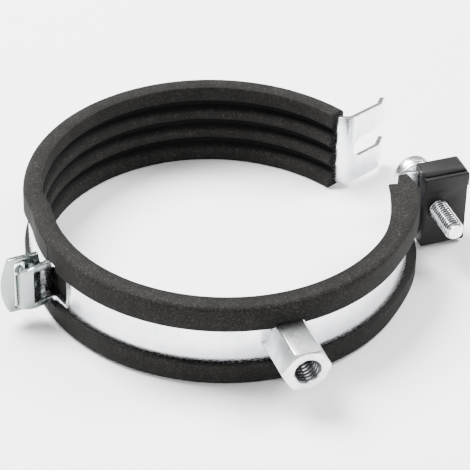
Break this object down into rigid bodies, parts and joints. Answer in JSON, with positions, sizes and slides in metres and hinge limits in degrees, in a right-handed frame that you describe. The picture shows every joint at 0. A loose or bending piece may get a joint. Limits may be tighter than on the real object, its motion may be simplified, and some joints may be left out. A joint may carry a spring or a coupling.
{
  "type": "rubber-lined hinged pipe clamp",
  "caption": "Rubber-lined steel pipe clamp, hinged at one side and closed by a screw at the other, with a welded threaded nut for a rod.",
  "frame": {"origin": "centre of the part's footprint, on the plane of the linings' lower faces", "axes": "+Z along the pipe's axis, +X from the hinge towards the closing screw, -Y out of the connection nut's mouth"},
  "size_m": [0.1433, 0.1313, 0.0272],
  "materials": {
    "zinc_plated_steel": "bright zinc plate, lightly mottled",
    "black_rubber": "matt",
    "black_plastic": "satin"
  },
  "bodies": {
    "lower_half": {"lower_band": "zinc_plated_steel", "lower_lining": "black_rubber", "connection_nut": "zinc_plated_steel", "ear_nut": "zinc_plated_steel", "ear_cap": "black_plastic"},
    "upper_half": {"upper_band": "zinc_plated_steel", "upper_lining": "black_rubber"},
    "washer": {"screw_washer": "zinc_plated_steel"},
    "screw": {"closing_screw": "zinc_plated_steel"}
  },
  "joints": [
    {"name": "band_hinge", "type": "hinge", "parent": "lower_half", "child": "upper_half", "pos_m": [-0.0629, -0.0022, 0.0136], "axis": [0, 0, 1], "range_deg": [-5, 60]},
    {"name": "screw_advance", "type": "slide", "parent": "lower_half", "child": "washer", "axis": [0, -1, 0], "range_m": [-0.0055, 0.008]},
    {"name": "screw_turn", "type": "hinge", "parent": "washer", "child": "screw", "pos_m": [0.0628, 0.0108, 0.0136], "axis": [0, -1, 0], "range_deg": [-1985, 2885]}
  ],
  "couplings": [
    {"joint": "screw_turn", "follows": "screw_advance", "rad_per_m": 6283.2}
  ]
}
